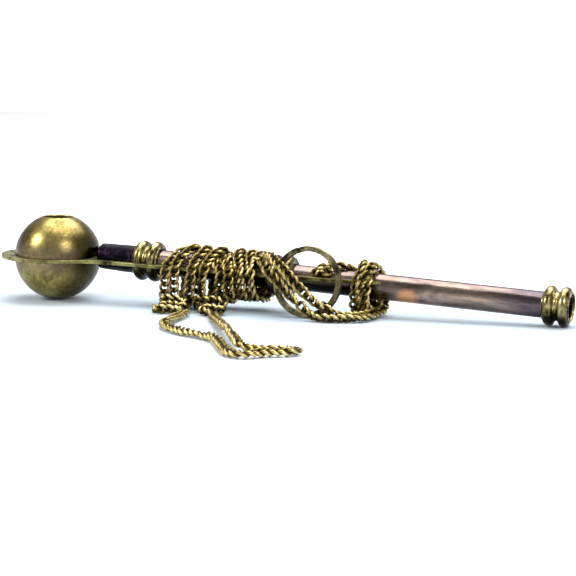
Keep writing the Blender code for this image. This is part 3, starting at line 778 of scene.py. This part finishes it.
def heatTonedCopper():
    # drawn copper tube with tones like those of heating: cloudy rose and orange, purple-brown along the top
    # and blue-black near the mouth collar, with faint lines along it like those of a drawing die
    material, tree, shader = startMaterial("heat-toned drawn copper")
    place = addNode(tree, "ShaderNodeTexCoord").outputs["Object"]
    level = addNode(tree, "ShaderNodeMapping", {
        "Vector": place, "Rotation": (0.0, -gunTilt, 0.0), "Scale": (0.3, 1.0, 1.0)})
    cloud = addNode(tree, "ShaderNodeTexNoise", {
        "Vector": level.outputs[0], "Scale": perMetre(3.2),
        "Detail": 5.0, "Roughness": 0.6, "Distortion": 0.6})
    drawn = addNode(tree, "ShaderNodeMapping", {
        "Vector": place, "Rotation": (0.0, -gunTilt, 0.0), "Scale": (0.03, 1.0, 1.0)})
    lines = addNode(tree, "ShaderNodeTexNoise", {
        "Vector": drawn.outputs[0], "Scale": perMetre(0.35), "Detail": 3.0, "Roughness": 0.6})
    grain = addNode(tree, "ShaderNodeTexNoise", {
        "Vector": place, "Scale": perMetre(0.3), "Detail": 2.0, "Roughness": 0.7})
    tones = addNode(tree, "ShaderNodeValToRGB", {"Fac": cloud.outputs[0]}, stops=(
        (0.28, linear("#463C3C")), (0.76, linear("#DC9C68")), (0.42, linear("#786860")),
        (0.56, linear("#A08A7E")), (0.66, linear("#B89478"))))
    along = addNode(tree, "ShaderNodeSeparateXYZ", {"Vector": place})
    mouthX = (gunEnd[0] - 6) * mm
    shelteredTo = (buoyCentre[0] + 80) * mm  # the keel's end
    nearMouth = addNode(tree, "ShaderNodeMapRange", {
        "Value": along.outputs["X"], "From Min": mouthX - 16 * mm, "From Max": mouthX, "To Max": 0.72})
    facing = addNode(tree, "ShaderNodeSeparateXYZ", {
        "Vector": addNode(tree, "ShaderNodeNewGeometry").outputs["Normal"]})
    crown = addNode(tree, "ShaderNodeMapRange", {
        "Value": facing.outputs["Z"], "From Min": 0.72, "From Max": 0.98, "To Max": 0.6})
    # painted shade: faces that look down turn greyer and darker
    under = addNode(tree, "ShaderNodeMapRange", {
        "Value": facing.outputs["Z"], "From Min": -0.2, "From Max": -0.85, "To Max": 0.4})
    crowned = addNode(tree, "ShaderNodeMix", {
        "Factor": crown.outputs[0], 6: tones.outputs[0], 7: linear("#44303A")}, data_type="RGBA")
    lowered = addNode(tree, "ShaderNodeMix", {
        "Factor": under.outputs[0], 6: crowned.outputs[2], 7: linear("#6E6260")}, data_type="RGBA")
    # painted shadow of the keel: as far as the keel reaches, the tube's lower half is painted nearly black
    beside = addNode(tree, "ShaderNodeMapRange", {
        "Value": along.outputs["X"], "From Min": shelteredTo, "From Max": shelteredTo - 2 * mm})
    lowerHalf = addNode(tree, "ShaderNodeMapRange", {
        "Value": facing.outputs["Z"], "From Min": 0.3, "From Max": -0.2, "To Max": 0.95})
    paintedKeelShadow = addNode(tree, "ShaderNodeMath", {
        0: beside.outputs[0], 1: lowerHalf.outputs[0]}, operation="MULTIPLY")
    blackened = addNode(tree, "ShaderNodeMix", {
        "Factor": paintedKeelShadow.outputs[0], 6: lowered.outputs[2], 7: linear("#120E10")}, data_type="RGBA")
    # an orange patch on the front, just past the keel's end
    patchAt = np.array((buoyCentre[0] + 86.0, -2.4, gunHeight(86.0) - 1.7)) * mm
    fromPatch = addNode(tree, "ShaderNodeVectorMath", {0: place, 1: tuple(patchAt)}, operation="DISTANCE")
    ragged = addNode(tree, "ShaderNodeMath", {
        0: cloud.outputs[0], 1: -4 * mm, 2: fromPatch.outputs["Value"]}, operation="MULTIPLY_ADD")
    patch = addNode(tree, "ShaderNodeMapRange", {
        "Value": ragged.outputs[0], "From Min": 1.5 * mm, "From Max": -0.3 * mm, "To Max": 0.75})
    patched = addNode(tree, "ShaderNodeMix", {
        "Factor": patch.outputs[0], 6: blackened.outputs[2], 7: linear("#DC9A68")}, data_type="RGBA")
    blued = addNode(tree, "ShaderNodeMix", {
        "Factor": nearMouth.outputs[0], 6: patched.outputs[2], 7: linear("#45414E")}, data_type="RGBA")
    speckle = addNode(tree, "ShaderNodeMapRange", {
        "Value": grain.outputs[0], "From Min": 0.3, "From Max": 0.7, "To Min": 0.78, "To Max": 1.1})
    final = addNode(tree, "ShaderNodeMix", {
        "Factor": 1.0, 6: blued.outputs[2], 7: speckle.outputs[0]}, data_type="RGBA", blend_type="MULTIPLY")
    tree.links.new(final.outputs[2], shader.inputs["Base Color"])
    gloss = addNode(tree, "ShaderNodeMapRange", {
        "Value": lines.outputs[0], "From Min": 0.3, "From Max": 0.7, "To Min": 0.18, "To Max": 0.32})
    tree.links.new(gloss.outputs[0], shader.inputs["Roughness"])
    bump = addNode(tree, "ShaderNodeBump", {
        "Height": lines.outputs[0], "Strength": 0.3, "Distance": 0.03 * mm})
    tree.links.new(bump.outputs[0], shader.inputs["Normal"])
    return material


def antiquedChainBrass():
    # antiqued curb chain: bright gold on the outside of each link, nearly black between the links, partly
    # antiquing kept there and partly painted shade
    material, tree, shader = startMaterial("antiqued chain brass")
    rubbed = addNode(tree, "ShaderNodeAttribute", attribute_name="rubbed")
    tone = addNode(tree, "ShaderNodeAttribute", attribute_name="linkTone")
    place = addNode(tree, "ShaderNodeTexCoord").outputs["Object"]
    grain = addNode(tree, "ShaderNodeTexNoise", {
        "Vector": place, "Scale": perMetre(0.5), "Detail": 3.0, "Roughness": 0.7})
    mottle = addNode(tree, "ShaderNodeMapRange", {"Value": grain.outputs[0], "To Min": -0.3, "To Max": 0.3})
    lifted = addNode(tree, "ShaderNodeMath", {
        0: rubbed.outputs["Fac"], 1: mottle.outputs[0]}, operation="ADD")
    tones = addNode(tree, "ShaderNodeValToRGB", {"Fac": lifted.outputs[0]}, stops=(
        (0.2, linear("#1A120A")), (0.9, linear("#ECDFA6")), (0.46, linear("#7E6C3A")),
        (0.68, linear("#B8A262"))))
    # up to a third of the way to olive, a little different from link to link
    olive = addNode(tree, "ShaderNodeMath", {0: tone.outputs["Fac"], 1: 0.35}, operation="MULTIPLY")
    warm = addNode(tree, "ShaderNodeMix", {
        "Factor": olive.outputs[0], 6: tones.outputs[0], 7: linear("#5E5228")}, data_type="RGBA")
    tree.links.new(warm.outputs[2], shader.inputs["Base Color"])
    gloss = addNode(tree, "ShaderNodeMapRange", {
        "Value": lifted.outputs[0], "To Min": 0.55, "To Max": 0.24})
    tree.links.new(gloss.outputs[0], shader.inputs["Roughness"])
    return material


def wear(piece, material, body):
    piece.data.materials.clear()
    piece.data.materials.append(material)
    if body:
        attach(piece, body)


spunBrass = ballBrass()
turnedBrass = antiquedMetal("turned antiqued brass")
chainBrass = antiquedChainBrass()
wear(upperBowl, spunBrass, "whistle")
wear(lowerBowl, spunBrass, "whistle")
wear(keelPiece, antiquedMetal("antiqued sheet brass"), "whistle")
wear(nozzle, antiquedMetal("blackened copper"), "whistle")
wear(gunTube, heatTonedCopper(), "whistle")
for piece in collarPieces.values():
    wear(piece, turnedBrass, "whistle")
wear(ringPiece, antiquedMetal("antiqued spring brass"), "ring")
wear(linkPiece, antiquedMetal("antiqued spring brass"), "ring")
wear(chainBuoySide, chainBrass, None)
wear(chainMouthSide, chainBrass, None)
print("materials laid on")


# floor, light and air
def addFloor():
    half = 0.8
    mesh = bpy.data.meshes.new("table")
    corners = [(-half, -half, 0), (half, -half, 0), (half, half, 0), (-half, half, 0)]
    mesh.from_pydata(corners, [], [(0, 1, 2, 3)])
    table = bpy.data.objects.new("table", mesh)
    bpy.context.scene.collection.objects.link(table)
    material, tree, shader = startMaterial("white matt paper with painted shadow")
    shader.inputs["Metallic"].default_value = 0.0
    # matt white, with a painted shadow: greyer and a little blue in the middle, round and under the pipe; it
    # is not cast, so it doesn't move with the lamps
    place = addNode(tree, "ShaderNodeMapping", {
        "Vector": addNode(tree, "ShaderNodeTexCoord").outputs["Object"], "Scale": (0.35, 1.0, 1.0)})
    away = addNode(tree, "ShaderNodeVectorMath", {0: place.outputs[0]}, operation="LENGTH")
    fade = addNode(tree, "ShaderNodeMapRange", {"Value": away.outputs["Value"], "From Max": 0.1})
    shade = addNode(tree, "ShaderNodeValToRGB", {"Fac": fade.outputs[0]}, stops=(
        (0.1, linear("#BAC8D4")), (1.0, linear("#FFFFFF"))))
    tree.links.new(shade.outputs[0], shader.inputs["Base Color"])
    shader.inputs["Roughness"].default_value = 0.6
    mesh.materials.append(material)


# name: place and aim in metres, size, watts, colour
softboxes = {
    "overhead": ((0.0, 0.25, 0.75), (0.0, 0.1, 0.0), 0.9, 13.0, "#FFFFFF"),
    "leftFront": ((-0.42, -0.30, 0.38), (-0.03, 0.0, 0.01), 0.2, 2.0, "#FFFDF6"),
    "rightFront": ((0.40, -0.32, 0.34), (0.0, 0.0, 0.01), 0.2, 1.6, "#FFFFFF"),
}


def addLights():
    for name, (place, aim, size, watts, tint) in softboxes.items():
        data = bpy.data.lights.new(name, "AREA")
        data.size, data.energy, data.color = size, watts, linear(tint)[:3]
        lamp = bpy.data.objects.new(name, data)
        back = np.array(place) - np.array(aim)
        back /= np.linalg.norm(back)
        side = np.cross((0.0, 1.0, 0.001), back)
        side /= np.linalg.norm(side)
        turn = np.eye(4)
        turn[:3, 0], turn[:3, 1], turn[:3, 2], turn[:3, 3] = side, np.cross(back, side), back, place
        lamp.matrix_world = Matrix(turn.tolist())
        bpy.context.scene.collection.objects.link(lamp)
    world = bpy.data.worlds.new("studio")
    world.use_nodes = True
    # a white sweep at and below the horizon, and a dimmer room above it
    sky = world.node_tree
    direction = addNode(sky, "ShaderNodeTexCoord").outputs["Generated"]
    height = addNode(sky, "ShaderNodeSeparateXYZ", {"Vector": direction})
    strength = addNode(sky, "ShaderNodeMapRange", {
        "Value": height.outputs["Z"], "From Min": 0.02, "From Max": 0.5, "To Min": 1.15, "To Max": 0.3})
    sky.links.new(strength.outputs[0], sky.nodes["Background"].inputs["Strength"])
    sky.nodes["Background"].inputs["Color"].default_value = linear("#F6F9FF")
    bpy.context.scene.world = world
    bpy.context.scene.view_settings.view_transform = "Standard"


addFloor()
addLights()
print("lights up")
